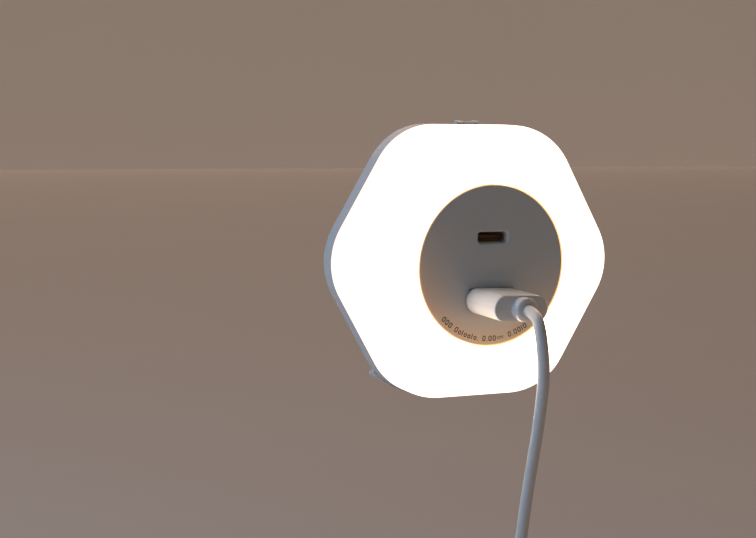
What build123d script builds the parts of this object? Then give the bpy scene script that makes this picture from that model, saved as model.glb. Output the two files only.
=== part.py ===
"""Hexagonal plug-in night light with two USB charging ports, and the charging cable plugged into one of them.

Frame: millimetres. X points right as the light is seen from the room, Y into the wall, Z up. The origin is
the centre of the ring that seats on the wall socket. A height is a distance out from that seat, towards the
room, so facing(height) is the plane at y = -height that looks into the room.
"""

import os
from math import cos, pi, radians, sin, tan

from build123d import *

os.makedirs("parts", exist_ok=True)

# ---- Driving dimensions of the light ----
face_height = 45.0  # seat to the flat front face
half_flats = 36.4  # half the hexagon's width across its flats
corner_radius = 18.0
diffuser_depth = 15.9
diffuser_wall = 1.6
diffuser_rounding = 10.0  # radius of the soft front edge
band_depth = 5.2  # the white side band behind the diffuser
housing_wall = 1.8
back_wall = 2.0
rear_edge_round = 0.3
neck_front_radius = 27.6
neck_rear_radius = 26.0
neck_wall = 1.6
seat_wall = 2.0
seat_edge_round = 0.8
skirt_proud = 0.5
skirt_wall = 0.8
skirt_clear_of_seat = 16.0
skirt_root_half_width = 24.3
skirt_tip_half_width = 21.75

# ---- Plug that goes into the wall socket ----
plug_radius = 19.0
plug_depth = 17.0
plug_wall = 2.0
pin_radius = 2.4
pin_root_radius = 2.2
pin_root_shown = 0.4  # narrower root between the plug's face and the pin's full width
pin_length = 19.0
pin_spacing = 19.0
earth_groove = (7.0, 2.6)  # width and depth
guide_groove = (5.2, 2.4)

# ---- Port plate, ports and the cable's plug ----
disc_radius = 21.2
disc_thickness = 1.8
disc_gap = 0.15
flange_radius = 22.8
port_tube_radius = 19.6
port_tube_wall = 1.4
usb_c_z = 7.4
usb_a_z = -8.9
usb_c_cut = (8.6, 2.9)
usb_a_cut = (12.8, 5.4)
port_chamfer = 0.45  # bevel round each port's cut in the plate
usb_c_outer = (8.94, 3.16)
usb_a_outer = (13.1, 5.7)
usb_shell_wall = 0.3
flange_thickness = 1.2
plug_shell = (12.0, 4.5)
plug_shell_length = 11.8
grip_size = (15.6, 6.8)
grip_length = 15.9
grip_off_face = 0.4
grip_turn = -2.4  # degrees: the plug sits slightly turned in its port, and a little low
grip_drop = 0.3
grip_edge_round = 0.4
collar_radius = 3.1
collar_length = 3.2

# ---- Boards, tray, switch and clearances ----
board_thickness = 1.6
led_board_thickness = 1.0
tray_thickness = 1.2
led_count = 24
led_first_angle = 7.5
led_ring_radius = 26.0
switch_travel = 2.0
switch_rest_x = 1.0
knob_width = 6.6
knob_depth = 1.8
knob_proud = 1.0
clearance = 0.15
running = 0.25
screw_radius = 1.3
screw_head_radius = 2.4
pilot_radius = 1.0

# ---- Charging cable ----
cable_diameter = 3.0
coil_radius = 15.5  # at the middle of the turns
coil_turns = 9
coil_section = 9.4
coil_x = 5.0
coil_past_exit = 4.5  # how far the coil hangs out from the plug's end
coil_z = -94.0

# ---- Heights and sizes worked out from the dimensions above ----
seam_height = face_height - diffuser_depth
back_height = seam_height - band_depth
floor_height = back_height + back_wall
tray_bottom = floor_height + 1.1
tray_top = tray_bottom + tray_thickness
led_board_top = tray_top + led_board_thickness
port_board_top = tray_top + 2.4
port_board_bottom = port_board_top - board_thickness
main_board_bottom = back_height - 4.9
main_board_top = main_board_bottom + board_thickness
neck_hole_radius = neck_front_radius - neck_wall
board_radius = neck_rear_radius - neck_wall - 0.3
port_tube_bore = port_tube_radius - port_tube_wall
case_screw_spots = [60, 120, 240, 300]
case_screw_radius = 31.0
boss_radius = 3.4
post_radius = 1.9
post_ring = board_radius - post_radius
post_angles = [90, 210, 330]
case_flange_radius = neck_front_radius + 1.8
case_flange_thickness = 0.9


def facing(height):
    """Plane at a height out from the seat, looking into the room, with x right and z up."""
    return Plane.XZ.offset(height)


def hexagon(inset=0.0):
    """Rounded hexagon with flat top and bottom, its outline moved in by inset."""
    RegularPolygon(half_flats - inset, 6, major_radius=False)
    fillet(vertices(), corner_radius - inset)


def ring_spots(radius, angles):
    """Places on a circle about the light's axis, at angles in degrees."""
    return [(radius * cos(radians(angle)), radius * sin(radians(angle))) for angle in angles]


def save(piece, name):
    """Label a finished piece and write its STEP file."""
    piece.part.label = name
    export_step(piece.part, f"parts/{name}.step")


# ======================================================================== casing
tongue_length = 2.0
tongue_root = 1.2
tongue_outer = housing_wall + clearance
tongue_inner = tongue_outer + 1.2
flange_half_length = knob_width / 2 + switch_travel + 0.3
bay_half_length = flange_half_length + switch_travel / 2 + 0.4

with BuildPart() as diffuser_core:
    with BuildSketch(facing(seam_height)):
        hexagon(diffuser_wall)
    extrude(amount=diffuser_depth - diffuser_wall)
    fillet(diffuser_core.edges().group_by(Axis.Y)[0], diffuser_rounding - diffuser_wall)

with BuildPart() as diffuser:
    with BuildSketch(facing(seam_height)):
        hexagon()
    extrude(amount=diffuser_depth)
    fillet(diffuser.edges().group_by(Axis.Y)[0], diffuser_rounding)
    add(diffuser_core.part, mode=Mode.SUBTRACT)
    # the locating tongue behind the seam, open where the switch sits
    with BuildSketch(facing(seam_height)):
        hexagon(diffuser_wall - 0.2)
    extrude(amount=tongue_root)
    with BuildSketch(facing(seam_height - tongue_length)):
        hexagon(tongue_outer)
    extrude(amount=tongue_length)
    with BuildSketch(facing(seam_height - tongue_length)):
        hexagon(tongue_inner)
    extrude(amount=tongue_length + tongue_root, mode=Mode.SUBTRACT)
    with BuildSketch(facing(seam_height - tongue_length)):
        with Locations((0, half_flats)):
            Rectangle(2 * bay_half_length + 1, 10)
    extrude(amount=tongue_length, mode=Mode.SUBTRACT)
    # the round hole that the port plate fills
    with BuildSketch(facing(face_height)):
        Circle(disc_radius + disc_gap)
    extrude(amount=-2 * diffuser_wall, mode=Mode.SUBTRACT)
save(diffuser, "diffuser")

knob_height = back_height + 1.7
knob_slot_half = knob_width / 2 + switch_travel / 2 + 0.2
bay_floor = back_height + 0.8
bay_drop = 7.2

with BuildPart() as skirt:
    with BuildSketch(facing(skirt_clear_of_seat)):
        hexagon(-skirt_proud)
    extrude(amount=back_height - skirt_clear_of_seat + 0.7)
    with BuildSketch(facing(skirt_clear_of_seat)):
        hexagon(skirt_wall - skirt_proud)
    extrude(amount=back_height - skirt_clear_of_seat + 0.7, mode=Mode.SUBTRACT)
    # slanted ends, seen from below
    with BuildSketch(Plane.XY.offset(-2 * half_flats)):
        with BuildLine():
            Polyline(
                (-skirt_root_half_width, -back_height - 1),
                (skirt_root_half_width, -back_height - 1),
                (skirt_root_half_width, -back_height),
                (skirt_tip_half_width, -skirt_clear_of_seat),
                (-skirt_tip_half_width, -skirt_clear_of_seat),
                (-skirt_root_half_width, -back_height),
                close=True,
            )
        make_face()
    extrude(amount=2 * half_flats, mode=Mode.INTERSECT)

with BuildPart() as rear_housing:
    with BuildSketch(facing(back_height)):
        hexagon()
    extrude(amount=band_depth)
    fillet(rear_housing.edges().group_by(Axis.Y)[-1], rear_edge_round)
    with BuildSketch(facing(floor_height)):
        hexagon(housing_wall)
    extrude(amount=band_depth, mode=Mode.SUBTRACT)
    add(skirt.part)
    # the supply case comes through the back wall
    with BuildSketch(facing(back_height)):
        Circle(neck_front_radius + clearance)
    extrude(amount=back_wall, mode=Mode.SUBTRACT)
    # case screw holes
    with BuildSketch(facing(back_height)):
        with Locations(*ring_spots(case_screw_radius, case_screw_spots)):
            Circle(screw_radius + clearance)
    extrude(amount=back_wall, mode=Mode.SUBTRACT)
    # switch bay in the back wall and the knob's slot in the top wall
    with BuildSketch(facing(bay_floor)):
        with Locations((0, half_flats - housing_wall - bay_drop / 2)):
            Rectangle(2 * bay_half_length, bay_drop)
    extrude(amount=back_wall, mode=Mode.SUBTRACT)
    with BuildSketch(facing(knob_height - running)):
        with Locations((0, half_flats)):
            Rectangle(2 * knob_slot_half, 3 * housing_wall)
    extrude(amount=knob_depth + 2 * running, mode=Mode.SUBTRACT)
save(rear_housing, "rear_housing")

with BuildPart() as supply_case:
    with BuildSketch(Plane.XY):
        with BuildLine():
            Polyline(
                (0, 0),
                (neck_rear_radius, 0),
                (neck_front_radius, -back_height),
                (neck_front_radius, -floor_height),
                (case_flange_radius, -floor_height),
                (case_flange_radius, -floor_height - case_flange_thickness),
                (neck_hole_radius, -floor_height - case_flange_thickness),
                (neck_hole_radius, -back_height),
                (neck_rear_radius - neck_wall, -seat_wall),
                (0, -seat_wall),
                close=True,
            )
        make_face()
    revolve(axis=Axis.Y)
    fillet(supply_case.edges().filter_by(GeomType.CIRCLE).group_by(Axis.Y)[-1], seat_edge_round)
    # room for the tray's screw bosses and the switch in the clamped flange
    with BuildSketch(facing(floor_height)):
        with Locations(*ring_spots(case_screw_radius, case_screw_spots)):
            Circle(boss_radius + clearance)
        with Locations((0, neck_front_radius + 5.2)):
            Rectangle(2 * bay_half_length, 10)
    extrude(amount=case_flange_thickness, mode=Mode.SUBTRACT)
    # posts for the main board, joined to the case's wall
    with BuildSketch(facing(seat_wall - 0.5)):
        with Locations(*ring_spots(post_ring, post_angles)):
            Circle(post_radius)
    extrude(amount=main_board_bottom - seat_wall + 0.5)
    with BuildSketch(facing(main_board_bottom)):
        with Locations(*ring_spots(post_ring, post_angles)):
            Circle(pilot_radius)
    extrude(amount=-8, mode=Mode.SUBTRACT)
    # the plug base comes through the seat wall
    with BuildSketch(facing(0)):
        Circle(plug_radius + clearance)
    extrude(amount=seat_wall, mode=Mode.SUBTRACT)
save(supply_case, "supply_case")

with BuildPart() as plug_base:
    with BuildSketch(facing(seat_wall + clearance + 1.6)):
        Circle(plug_radius + 1.1)
    extrude(amount=-1.6)
    with BuildSketch(facing(seat_wall + 1.0)):
        Circle(plug_radius)
    extrude(amount=-plug_depth - seat_wall - 1.0)
    fillet(plug_base.edges().group_by(Axis.Y)[-1], 1.2)
    with BuildSketch(facing(seat_wall + 5)):
        Circle(plug_radius - plug_wall - 2.6)
    extrude(amount=-plug_depth - seat_wall - 5 + 2.5, mode=Mode.SUBTRACT)
    # grooves for the socket's earth clips, above and below, and for its guide ribs at the sides
    with BuildSketch(facing(-1.0)):
        with Locations((0, plug_radius), (0, -plug_radius)):
            Rectangle(earth_groove[0], 2 * earth_groove[1])
        with Locations((plug_radius, 0), (-plug_radius, 0)):
            Rectangle(2 * guide_groove[1], guide_groove[0])
    extrude(amount=-plug_depth, mode=Mode.SUBTRACT)
    # holes that the pins are moulded into
    with BuildSketch(facing(-plug_depth)):
        with Locations((pin_spacing / 2, 0), (-pin_spacing / 2, 0)):
            Circle(pin_root_radius)
    extrude(amount=plug_wall + 1, mode=Mode.SUBTRACT)
save(plug_base, "plug_base")

# ======================================================================== plug pins
tail_radius = 1.5
tail_height = 4.0
root_length = 4.0  # moulded into the plug's base
for side, name in ((-1, "live_pin"), (1, "neutral_pin")):
    with BuildPart() as pin:
        with BuildSketch(facing(tail_height)):
            with Locations((side * pin_spacing / 2, 0)):
                Circle(tail_radius)
        extrude(amount=root_length - tail_height - plug_depth)
        with BuildSketch(facing(root_length - plug_depth)):
            with Locations((side * pin_spacing / 2, 0)):
                Circle(pin_root_radius)
        extrude(amount=-root_length - pin_root_shown)
        with BuildSketch(facing(-plug_depth - pin_root_shown)):
            with Locations((side * pin_spacing / 2, 0)):
                Circle(pin_radius)
        extrude(amount=pin_root_shown - pin_length)
        fillet(pin.edges().group_by(Axis.Y)[-1], pin_radius - 0.4)
    save(pin, name)

# ======================================================================== port plate and boards
port_post_x = 13.0

with BuildPart() as port_plate:
    with BuildSketch(facing(face_height)):
        Circle(disc_radius)
    extrude(amount=-disc_thickness)
    fillet(port_plate.edges().group_by(Axis.Y)[0], 0.25)
    with BuildSketch(facing(face_height - disc_thickness)):
        Circle(flange_radius)
    extrude(amount=-flange_thickness)
    with BuildSketch(facing(face_height - disc_thickness)):
        Circle(port_tube_radius)
        Circle(port_tube_bore, mode=Mode.SUBTRACT)
    extrude(amount=tray_top - face_height + disc_thickness)
    with BuildSketch(facing(face_height - disc_thickness)):
        with Locations((port_post_x, 0), (-port_post_x, 0)):
            Circle(2.4)
    extrude(amount=port_board_top - face_height + disc_thickness)
    with BuildSketch(facing(port_board_top)):
        with Locations((port_post_x, 0), (-port_post_x, 0)):
            Circle(pilot_radius)
    extrude(amount=6, mode=Mode.SUBTRACT)
    # bevelled cuts for the two ports, with pockets behind them for the ports' shells
    with BuildSketch(facing(face_height)):
        with Locations((0, usb_c_z)):
            RectangleRounded(*usb_c_cut, 0.85)
        with Locations((0, usb_a_z)):
            RectangleRounded(*usb_a_cut, 0.5)
    extrude(amount=-disc_thickness - flange_thickness, mode=Mode.SUBTRACT)
    chamfer(port_plate.edges(Select.LAST).group_by(Axis.Y)[0], port_chamfer)
    with BuildSketch(facing(face_height - disc_thickness)):
        with Locations((0, usb_c_z)):
            SlotOverall(usb_c_outer[0] + 2 * clearance, usb_c_outer[1] + 2 * clearance)
        with Locations((0, usb_a_z)):
            Rectangle(usb_a_outer[0] + 2 * clearance, usb_a_outer[1] + 2 * clearance)
    extrude(amount=-flange_thickness, mode=Mode.SUBTRACT)
save(port_plate, "port_plate")

header_pitch = 2.54
header_z = -15.2
header_spots = [((i - 1.5) * header_pitch, header_z) for i in range(4)]
header_hole = 0.55
header_pin_width = 0.6

with BuildPart() as port_board:
    with BuildSketch(facing(port_board_bottom)):
        Circle(port_tube_bore - 0.4)
        with Locations((port_post_x, 0), (-port_post_x, 0)):
            Circle(screw_radius, mode=Mode.SUBTRACT)
        with Locations(*header_spots):
            Circle(header_hole, mode=Mode.SUBTRACT)
    extrude(amount=board_thickness)
save(port_board, "port_board")

port_front = face_height - disc_thickness - 0.1
usb_c_base_height = port_board_top + 2.2

with BuildPart() as usb_c_shell:
    with BuildSketch(facing(usb_c_base_height)):
        with Locations((0, usb_c_z)):
            SlotOverall(*usb_c_outer)
            SlotOverall(
                usb_c_outer[0] - 2 * usb_shell_wall,
                usb_c_outer[1] - 2 * usb_shell_wall,
                mode=Mode.SUBTRACT,
            )
    extrude(amount=port_front - usb_c_base_height)
save(usb_c_shell, "usb_c_shell")

usb_c_tongue_size = (6.7, 0.7)
with BuildPart() as usb_c_tongue:
    with BuildSketch(facing(port_board_top)):
        with Locations((0, usb_c_z)):
            Rectangle(usb_c_outer[0] + 0.4, usb_c_outer[1] + 0.8)
    extrude(amount=usb_c_base_height - port_board_top)
    with BuildSketch(facing(usb_c_base_height)):
        with Locations((0, usb_c_z)):
            Rectangle(*usb_c_tongue_size)
    extrude(amount=port_front - usb_c_base_height - 0.6)
save(usb_c_tongue, "usb_c_tongue")

usb_a_inner = (usb_a_outer[0] - 2 * usb_shell_wall, usb_a_outer[1] - 2 * usb_shell_wall)
usb_a_base_height = port_board_top + 1.8

with BuildPart() as usb_a_shell:
    with BuildSketch(facing(port_board_top)):
        with Locations((0, usb_a_z)):
            RectangleRounded(*usb_a_outer, 0.5)
            Rectangle(*usb_a_inner, mode=Mode.SUBTRACT)
    extrude(amount=port_front - port_board_top)
save(usb_a_shell, "usb_a_shell")

plug_shell_wall = 0.3
plug_back = face_height + grip_off_face
plug_tip = plug_back - plug_shell_length
insert_gap = 0.12
inner_half = plug_shell[1] / 2 - plug_shell_wall

with BuildPart() as usb_a_tongue:
    with BuildSketch(facing(port_board_top)):
        with Locations((0, usb_a_z)):
            Rectangle(usb_a_inner[0] - 0.04, usb_a_inner[1] - 0.04)
    extrude(amount=usb_a_base_height - port_board_top)
    with BuildSketch(facing(usb_a_base_height)):
        with Locations((0, usb_a_z + (insert_gap + inner_half) / 2)):
            Rectangle(plug_shell[0] - 2 * plug_shell_wall - 0.5, inner_half - 2 * insert_gap)
    extrude(amount=port_front - usb_a_base_height - 0.9)
save(usb_a_tongue, "usb_a_tongue")

with BuildPart() as port_header:
    with BuildSketch(facing(main_board_top)):
        with Locations((0, header_z)):
            Rectangle(4 * header_pitch, header_pitch)
        with Locations(*header_spots):
            Rectangle(header_pin_width, header_pin_width, mode=Mode.SUBTRACT)
    extrude(amount=header_pitch)
save(port_header, "port_header")

with BuildPart() as header_pins:
    with BuildSketch(facing(main_board_bottom - 0.4)):
        with Locations(*header_spots):
            Rectangle(header_pin_width, header_pin_width)
    extrude(amount=port_board_top - main_board_bottom + 0.9)
save(header_pins, "header_pins")

with BuildPart() as port_screws:
    with BuildSketch(facing(port_board_bottom)):
        with Locations((port_post_x, 0), (-port_post_x, 0)):
            Circle(screw_head_radius - 0.6)
    extrude(amount=-1.0)
    with BuildSketch(facing(port_board_bottom)):
        with Locations((port_post_x, 0), (-port_post_x, 0)):
            Circle(pilot_radius)
    extrude(amount=board_thickness + 4.5)
save(port_screws, "port_screws")

# ======================================================================== light tray and LED board
tray_inset = tongue_inner + 0.35
boss_top = led_board_top + 1.2
switch_body_size = (8.6, 3.6)
switch_body_z = half_flats - housing_wall - 4.4
switch_cut = (2 * bay_half_length, 7.8)
switch_cut_z = half_flats - housing_wall - 2.6
wire_slot_x = -22.2

with BuildPart() as light_tray:
    with BuildSketch(facing(tray_bottom)):
        hexagon(tray_inset)
        Circle(port_tube_bore, mode=Mode.SUBTRACT)
        with Locations((wire_slot_x, 0)):
            Rectangle(3.0, 7.0, mode=Mode.SUBTRACT)
        with Locations((0, switch_cut_z)):
            Rectangle(*switch_cut, mode=Mode.SUBTRACT)
    extrude(amount=tray_thickness)
    with BuildSketch(facing(floor_height)):
        with Locations(*ring_spots(case_screw_radius, case_screw_spots)):
            Circle(boss_radius)
    extrude(amount=boss_top - floor_height)
    with BuildSketch(facing(floor_height)):
        with Locations(*ring_spots(case_screw_radius, case_screw_spots)):
            Circle(pilot_radius)
    extrude(amount=boss_top - floor_height - 0.8, mode=Mode.SUBTRACT)
save(light_tray, "light_tray")

with BuildPart() as led_board:
    with BuildSketch(facing(tray_top)):
        hexagon(tray_inset + 1.2)
        Circle(port_tube_radius + 0.8, mode=Mode.SUBTRACT)
        with Locations(*ring_spots(case_screw_radius, case_screw_spots)):
            Circle(boss_radius + clearance, mode=Mode.SUBTRACT)
        with Locations((0, half_flats - tray_inset)):
            Rectangle(2 * bay_half_length, 5.0, mode=Mode.SUBTRACT)
    extrude(amount=led_board_thickness)
save(led_board, "led_board")

led_size = (2.8, 3.5, 0.75)
with BuildPart() as leds:
    for angle in range(0, 360, 360 // led_count):
        with BuildSketch(facing(led_board_top)):
            with Locations(*ring_spots(led_ring_radius, [angle + led_first_angle])):
                Rectangle(led_size[0], led_size[1], rotation=angle + led_first_angle)
        extrude(amount=led_size[2])
save(leds, "leds")

screw_head_height = 1.4
drive_slot = (2.6, 0.6)  # length and width of the two crossed slots
with BuildPart() as case_screws:
    with BuildSketch(facing(back_height)):
        with Locations(*ring_spots(case_screw_radius, case_screw_spots)):
            Circle(screw_head_radius)
    extrude(amount=-screw_head_height)
    fillet(case_screws.edges().group_by(Axis.Y)[-1], screw_head_height / 2)
    with BuildSketch(facing(back_height - screw_head_height)):
        with Locations(*ring_spots(case_screw_radius, case_screw_spots)):
            Rectangle(*drive_slot)
            Rectangle(*drive_slot, rotation=90)
    extrude(amount=0.8, mode=Mode.SUBTRACT)
    with BuildSketch(facing(back_height)):
        with Locations(*ring_spots(case_screw_radius, case_screw_spots)):
            Circle(pilot_radius)
    extrude(amount=back_wall + 3.4)
save(case_screws, "case_screws")

# ======================================================================== switch
flange_bottom = half_flats - housing_wall - 1.1
flange_top = half_flats - housing_wall - 0.25
knob_top = half_flats + knob_proud
ridge_drop = 0.25
block_width = 1.45

with BuildPart() as switch_knob:
    with BuildSketch(facing(knob_height)):
        with Locations((switch_rest_x, (flange_top + knob_top - ridge_drop - 0.35) / 2)):
            Rectangle(knob_width, knob_top - ridge_drop - 0.35 - flange_top)
    extrude(amount=knob_depth)
    # raised end blocks and the two low ridges between them
    end_x = (knob_width - block_width) / 2
    with BuildSketch(facing(knob_height)):
        with Locations((switch_rest_x - end_x, knob_top - 0.7), (switch_rest_x + end_x, knob_top - 0.7)):
            RectangleRounded(block_width, 1.4, 0.3)
        with Locations((switch_rest_x - 0.75, knob_top - 0.8), (switch_rest_x + 0.75, knob_top - 0.8)):
            RectangleRounded(0.8, 1.0, 0.25)
    extrude(amount=knob_depth)
    with BuildSketch(facing(knob_height - 0.4)):
        with Locations((switch_rest_x, (flange_top + flange_bottom) / 2)):
            Rectangle(2 * flange_half_length, flange_top - flange_bottom)
    extrude(amount=knob_depth + 0.8)
    with BuildSketch(Plane.XY.offset(flange_bottom)):
        with Locations((switch_rest_x, -knob_height - knob_depth / 2)):
            Rectangle(1.7, 1.5)
    extrude(amount=0.7, mode=Mode.SUBTRACT)
save(switch_knob, "switch_knob")

slider_size = 1.5
switch_bottom = bay_floor + clearance
switch_top_z = switch_body_z + switch_body_size[1] / 2
slider_y = -knob_height - knob_depth / 2

with BuildPart() as switch_body:
    with BuildSketch(facing(switch_bottom)):
        with Locations((0, switch_body_z)):
            Rectangle(*switch_body_size)
    extrude(amount=tray_top - switch_bottom)
    with BuildSketch(Plane.XY.offset(switch_top_z)):
        with Locations((0, slider_y)):
            Rectangle(slider_size + switch_travel + 2 * running + 0.2, slider_size - 0.3 + 2 * running)
    extrude(amount=-2.2, mode=Mode.SUBTRACT)
save(switch_body, "switch_body")

with BuildPart() as switch_slider:
    with BuildSketch(Plane.XY.offset(switch_top_z - 1.9)):
        with Locations((switch_rest_x, slider_y)):
            Rectangle(slider_size, slider_size - 0.3)
    extrude(amount=flange_bottom + 0.6 - switch_top_z + 1.9)
save(switch_slider, "switch_slider")

# ======================================================================== main board and its components
with BuildPart() as main_board:
    with BuildSketch(facing(main_board_bottom)):
        Circle(board_radius)
        with Locations(*ring_spots(post_ring, post_angles)):
            Circle(screw_radius, mode=Mode.SUBTRACT)
        with Locations(*header_spots):
            Circle(header_hole, mode=Mode.SUBTRACT)
    extrude(amount=board_thickness)
save(main_board, "main_board")

with BuildPart() as board_screws:
    with BuildSketch(facing(main_board_top)):
        with Locations(*ring_spots(post_ring, post_angles)):
            Circle(screw_head_radius - 0.4)
    extrude(amount=1.3)
    with BuildSketch(facing(main_board_top)):
        with Locations(*ring_spots(post_ring, post_angles)):
            Circle(pilot_radius)
    extrude(amount=-board_thickness - 6)
save(board_screws, "board_screws")

core_spot = (-8.6, -7.5)
core_size = (16.0, 5.0)
core_top = main_board_bottom - 0.6
lowest_component = seat_wall + 4.4  # clear of the wall and the pin roots behind the main board
core_height = core_top - lowest_component
core_leg = 2.0
core_window = (3.4, core_height - 2 * core_leg)

window_x = core_leg + core_window[0] / 2 + 0.2
window_height = core_top - core_height / 2

with BuildPart() as transformer_core:
    with BuildSketch(facing(core_top)):
        with Locations(core_spot):
            Rectangle(*core_size)
    extrude(amount=-core_height)
    with Locations(
        (core_spot[0] - window_x, -window_height, core_spot[1]),
        (core_spot[0] + window_x, -window_height, core_spot[1]),
    ):
        Box(core_window[0] + 0.4, core_window[1], 2 * core_size[1], mode=Mode.SUBTRACT)
save(transformer_core, "transformer_core")

with BuildPart() as transformer_winding:
    with BuildSketch(facing(window_height - core_window[1] / 2 + 0.15)):
        with Locations(core_spot):
            RectangleRounded(2 * (core_leg + core_window[0]), 11.0, 1.5)
            Rectangle(2 * core_leg + 0.3, core_size[1] + 0.3, mode=Mode.SUBTRACT)
    extrude(amount=core_window[1] - 0.3)
save(transformer_winding, "transformer_winding")


def cans(spots, radius, height):
    """Upright round components that hang from the main board towards the wall, inside the open block."""
    with BuildSketch(facing(main_board_bottom)) as footprint:
        with Locations(*spots):
            Circle(radius)
    extrude(footprint.sketch, amount=-height)


with BuildPart() as mains_capacitors:
    cans([(5.2, 11.8), (14.6, 7.6)], 4.0, core_height)
    fillet(mains_capacitors.edges().group_by(Axis.Y)[-1], 0.6)
save(mains_capacitors, "mains_capacitors")

with BuildPart() as output_capacitors:
    cans([(4.2, -19.6), (10.6, -13.6)], 3.15, 9.0)
    fillet(output_capacitors.edges().group_by(Axis.Y)[-1], 0.5)
save(output_capacitors, "output_capacitors")

with BuildPart() as mains_choke:
    cans([(-5.6, 13.0)], 4.2, 3.0)
    cans([(-5.6, 13.0)], 3.0, 8.0)
    with BuildSketch(facing(main_board_bottom - 8.0)):
        with Locations((-5.6, 13.0)):
            Circle(4.2)
    extrude(amount=-1.4)
save(mains_choke, "mains_choke")

with BuildPart() as fuse:
    cans([(-15.2, 9.0)], 2.0, 9.0)
save(fuse, "fuse")

with BuildPart() as bridge_rectifier:
    with BuildSketch(facing(main_board_bottom)):
        with Locations((13.2, -3.6)):
            Rectangle(6.4, 4.6)
    extrude(amount=-2.6)
    chamfer(bridge_rectifier.edges().group_by(Axis.Y)[-1], 0.4)
save(bridge_rectifier, "bridge_rectifier")

with BuildPart() as safety_capacitor:
    with Locations((4.6, -main_board_bottom + 5.0, -3.0)):
        Cylinder(3.8, 3.4, rotation=(0, 90, 0))
    fillet(safety_capacitor.edges(), 0.8)
save(safety_capacitor, "safety_capacitor")

with BuildPart() as control_chips:
    with BuildSketch(facing(main_board_top)):
        with Locations((6.5, 5.0), (-7.0, 2.5)):
            Rectangle(4.9, 3.9)
    extrude(amount=1.5)
    chamfer(control_chips.edges().group_by(Axis.Y)[0], 0.25)
save(control_chips, "control_chips")

# ======================================================================== wires inside
wire_radius = 0.8


def largest_radii(points):
    """Radius for each corner of a route, as large as the shorter of its two runs allows."""
    route = [Vector(*point) for point in points]
    radii = []
    for before, corner, after in zip(route, route[1:], route[2:]):
        turn = radians((corner - before).get_angle(after - corner))
        shorter = min((corner - before).length, (after - corner).length)
        radii.append(0.45 * shorter / tan(turn / 2))
    return radii


def tube(points, radius):
    """Round wire along straight runs joined by tangent arcs, inside the open block."""
    with BuildLine() as route:
        FilletPolyline(*points, radius=largest_radii(points))
    path = route.wires()[0]
    with BuildSketch(Plane(path @ 0, z_dir=path % 0)) as section:
        Circle(radius)
    sweep(section.sketch, path=path)
    return path


def report_tube(name, points, path, piece, radius):
    """Print a route's radii, and its volume against section times length."""
    radii = [round(value, 1) for value in largest_radii(points)]
    ideal = pi * radius**2 * path.length
    print(name, "length", round(path.length, 1), "radii", radii, "volume share", round(piece.part.volume / ideal, 4))


for side, name in ((-1, "live_wire"), (1, "neutral_wire")):
    pin_x = pin_spacing / 2
    wire_points = [
        (side * pin_x, -tail_height, 0),
        (side * (pin_x + 0.6), -tail_height - 2.0, 0.3),
        (side * (pin_x + 5.0), -tail_height - 3.4, 0.8),
        (side * (pin_x + 9.6), -tail_height - 6.6, 1.2),
        (side * (pin_x + 10.4), -main_board_bottom + 3.0, 1.3),
        (side * (pin_x + 10.3), -main_board_bottom, 1.3),
    ]
    with BuildPart() as wire:
        wire_path = tube(wire_points, wire_radius)
    report_tube(name, wire_points, wire_path, wire, wire_radius)
    save(wire, name)

with BuildPart() as led_wires:
    with BuildSketch(facing(main_board_top)):
        with Locations((wire_slot_x, 1.6), (wire_slot_x, -1.6)):
            Circle(0.6)
    extrude(amount=tray_top - main_board_top)
save(led_wires, "led_wires")

# ======================================================================== charging cable
with BuildPart() as usb_plug_shell:
    with BuildSketch(facing(plug_tip)):
        with Locations((0, usb_a_z)):
            RectangleRounded(*plug_shell, 0.4)
            Rectangle(
                plug_shell[0] - 2 * plug_shell_wall, 2 * inner_half, mode=Mode.SUBTRACT
            )
    extrude(amount=plug_shell_length)
save(usb_plug_shell, "usb_plug_shell")

with BuildPart() as usb_plug_insert:
    with BuildSketch(facing(plug_tip + 0.3)):
        with Locations((0, usb_a_z - (insert_gap + inner_half) / 2)):
            Rectangle(plug_shell[0] - 2 * plug_shell_wall, inner_half - insert_gap)
    extrude(amount=plug_shell_length - 0.3)
save(usb_plug_insert, "usb_plug_insert")

grip_end = plug_back + grip_length
grip_z = usb_a_z - grip_drop
with BuildPart() as usb_plug_grip:
    with BuildSketch(facing(plug_back)):
        with Locations((0, grip_z)):
            SlotOverall(*grip_size, rotation=grip_turn)
    extrude(amount=grip_length)
    fillet(usb_plug_grip.edges().group_by(Axis.Y)[0], grip_edge_round)
    fillet(usb_plug_grip.edges().group_by(Axis.Y)[-1], grip_edge_round)
save(usb_plug_grip, "usb_plug_grip")

with BuildPart() as usb_plug_collar:
    with BuildSketch(facing(grip_end)):
        with Locations((0, grip_z)):
            Circle(collar_radius)
    extrude(amount=collar_length)
    fillet(usb_plug_collar.edges().group_by(Axis.Y)[0], 0.6)
save(usb_plug_collar, "usb_plug_collar")

exit_y = -grip_end - collar_length
cable_route = [
    (0.0, exit_y, grip_z),
    (-0.4, exit_y - 4.5, -9.6),
    (-1.4, exit_y - 8.5, -12.6),
    (-1.5, exit_y - 10.4, -18.4),
    (-1.2, exit_y - 10.8, -25.0),
    (-1.5, exit_y - 9.9, -33.5),
    (-1.8, exit_y - 8.5, -42.5),
    (-2.3, exit_y - 6.9, -52.0),
    (-2.7, exit_y - 5.8, -60.5),
    (-3.4, exit_y - 5.4, -69.0),
    (-6.4, exit_y - 6.3, -77.0),
    (-11.0, exit_y - 7.1, -84.6),
]

with BuildPart() as cable_run:
    run_path = tube(cable_route, cable_diameter / 2)
report_tube("cable_run", cable_route, run_path, cable_run, cable_diameter / 2)
save(cable_run, "cable_run")

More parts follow.
